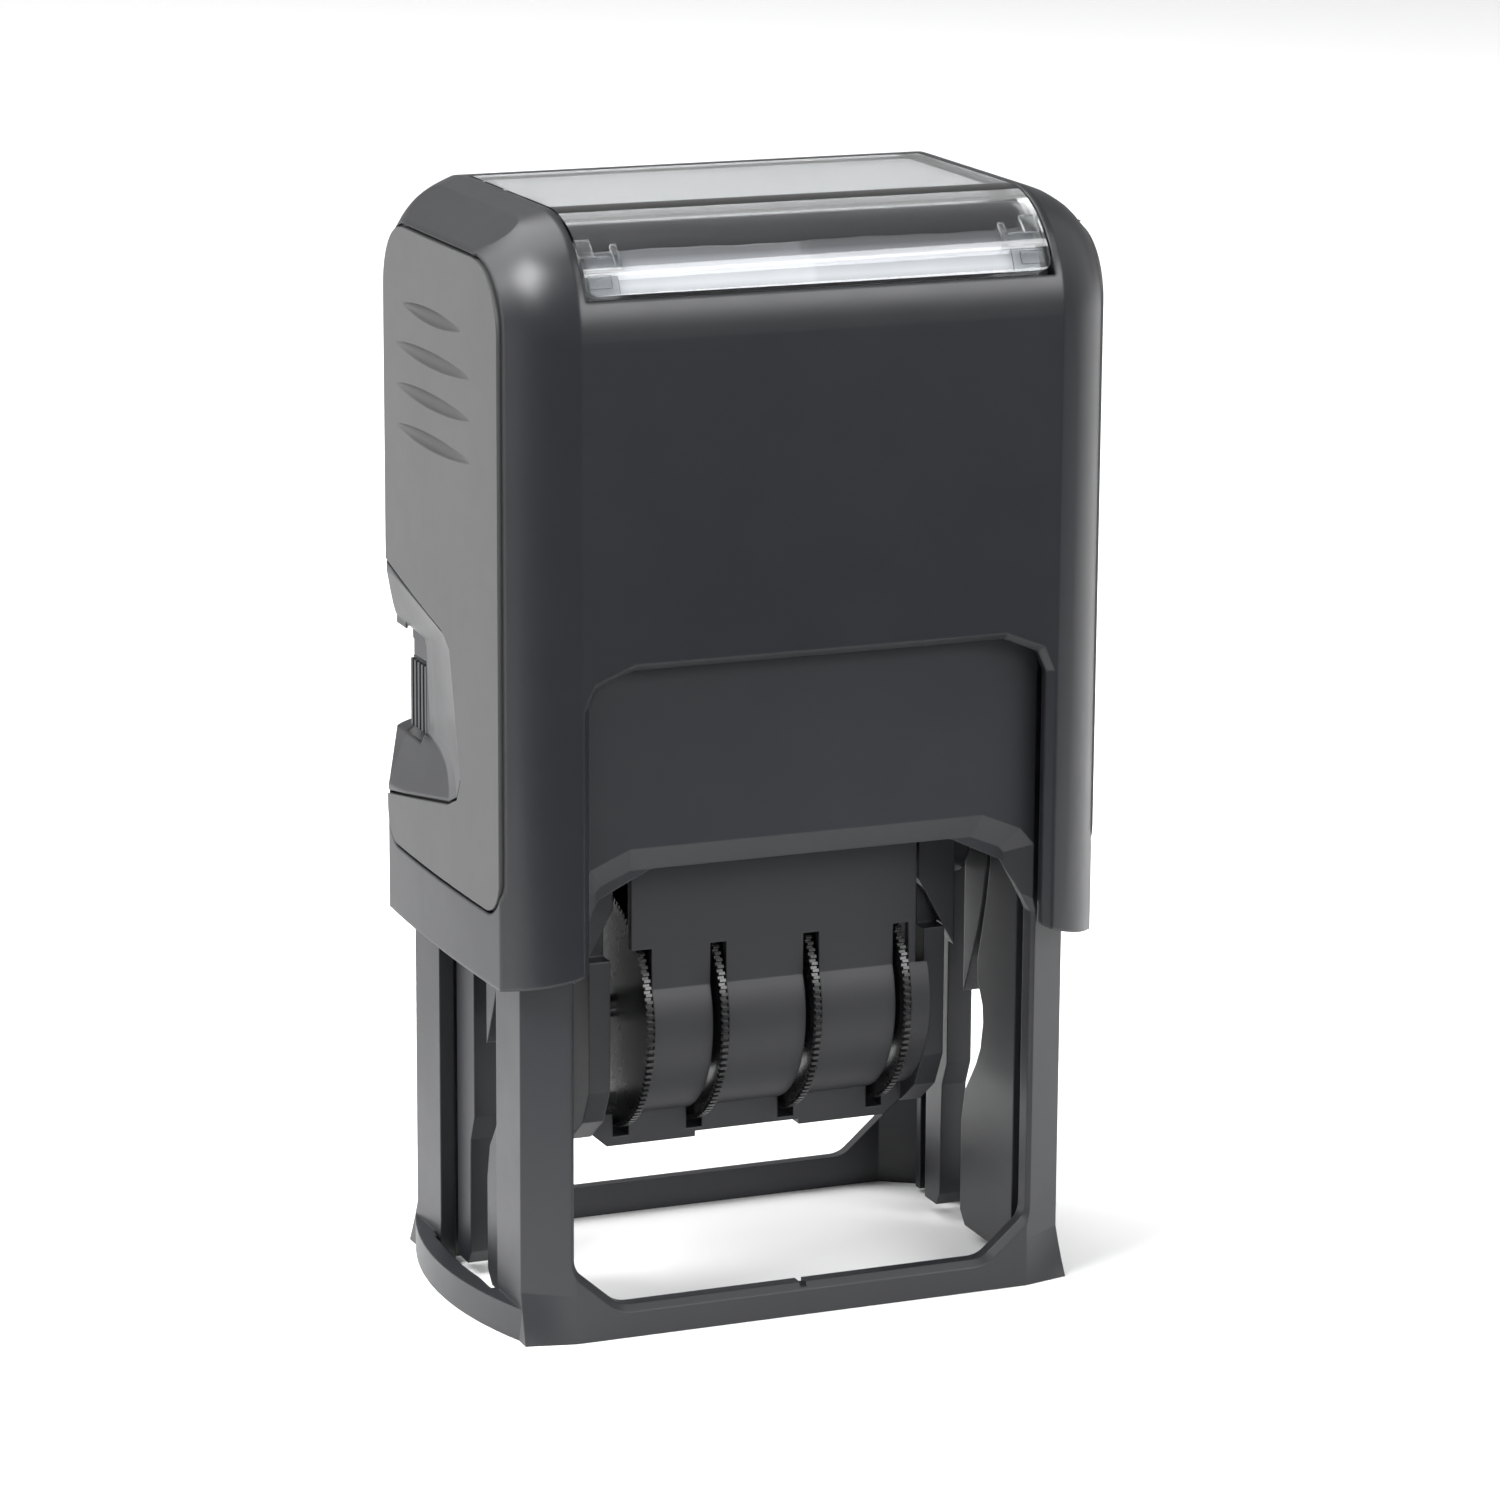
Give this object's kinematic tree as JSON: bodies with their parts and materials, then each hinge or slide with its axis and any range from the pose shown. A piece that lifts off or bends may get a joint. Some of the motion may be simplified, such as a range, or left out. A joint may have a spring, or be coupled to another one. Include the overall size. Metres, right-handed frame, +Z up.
{
  "type": "self-inking date stamp",
  "caption": "Self-inking date stamp: press-down cap on a base frame, flip-over text plate, toothed date thumbwheels, slide-out ink cartridge and clear top window",
  "frame": {"origin": "centre of the base at the surface it stands on", "axes": "+Z up, -Y the front with the thumbwheels, +X the right-hand side seen from the front"},
  "size_m": [0.0562, 0.0398, 0.098],
  "materials": {
    "cap_plastic": "satin moulded black",
    "panel_plastic": "fine matt grain, black",
    "frame_plastic": "semi-matt black",
    "shield_plastic": "matt black",
    "wheel_plastic": "satin black",
    "bush_plastic": "grey",
    "clear_plastic": "clear, polished",
    "card": "plain light grey card",
    "pin_steel": "turned",
    "spring_steel": "wire",
    "ink_foam": "inked foam",
    "plate_rubber": "matt",
    "band_rubber": "matt"
  },
  "bodies": {
    "frame": {"base_frame": "frame_plastic", "cam_rail_left": "frame_plastic", "cam_rail_right": "frame_plastic", "cam_web_left": "frame_plastic", "cam_web_right": "frame_plastic", "return_spring_left": "spring_steel", "return_spring_right": "spring_steel"},
    "housing": {"housing_shell": "cap_plastic", "index_card": "card", "side_panel_left": "panel_plastic", "side_panel_right": "panel_plastic", "pivot_pin_left": "pin_steel", "pivot_pin_right": "pin_steel"},
    "top_cover": {"top_window": "clear_plastic"},
    "cartridge": {"ink_cartridge": "frame_plastic", "ink_pad": "ink_foam"},
    "die_unit": {"die_holder": "frame_plastic", "text_plate": "plate_rubber", "date_carrier": "frame_plastic", "wheel_shield": "shield_plastic", "wheel_axle": "pin_steel", "axle_bush_left": "bush_plastic", "axle_bush_right": "bush_plastic", "date_band_1": "band_rubber", "date_band_2": "band_rubber", "date_band_3": "band_rubber", "date_band_4": "band_rubber"},
    "wheel_1": {"thumbwheel_1": "wheel_plastic"},
    "wheel_2": {"thumbwheel_2": "wheel_plastic"},
    "wheel_3": {"thumbwheel_3": "wheel_plastic"},
    "wheel_4": {"thumbwheel_4": "wheel_plastic"}
  },
  "joints": [
    {"name": "cap_press", "type": "slide", "parent": "frame", "child": "housing", "axis": [0, 0, 1], "range_m": [-0.0285, 0], "stiffness_N_per_m": 300, "springref_m": 0.004, "deforming": ["return_spring_left", "return_spring_right"]},
    {"name": "die_flip", "type": "hinge", "parent": "housing", "child": "die_unit", "pos_m": [0, 0, 0.0384], "axis": [1, 0, 0], "range_deg": [0, 180]},
    {"name": "wheel_1_spin", "type": "hinge", "parent": "die_unit", "child": "wheel_1", "pos_m": [0, 0, 0.0249], "axis": [1, 0, 0], "continuous": true},
    {"name": "wheel_2_spin", "type": "hinge", "parent": "die_unit", "child": "wheel_2", "pos_m": [0, 0, 0.0249], "axis": [1, 0, 0], "continuous": true},
    {"name": "wheel_3_spin", "type": "hinge", "parent": "die_unit", "child": "wheel_3", "pos_m": [0, 0, 0.0249], "axis": [1, 0, 0], "continuous": true},
    {"name": "wheel_4_spin", "type": "hinge", "parent": "die_unit", "child": "wheel_4", "pos_m": [0, 0, 0.0249], "axis": [1, 0, 0], "continuous": true},
    {"name": "cartridge_slide", "type": "slide", "parent": "frame", "child": "cartridge", "axis": [0, 1, 0], "range_m": [0, 0.036]},
    {"name": "window_lift", "type": "slide", "parent": "housing", "child": "top_cover", "axis": [0, 0, 1], "range_m": [0, 0.012]}
  ],
  "couplings": [
    {"joint": "die_flip", "follows": "cap_press", "rad_per_m": -110.23}
  ]
}
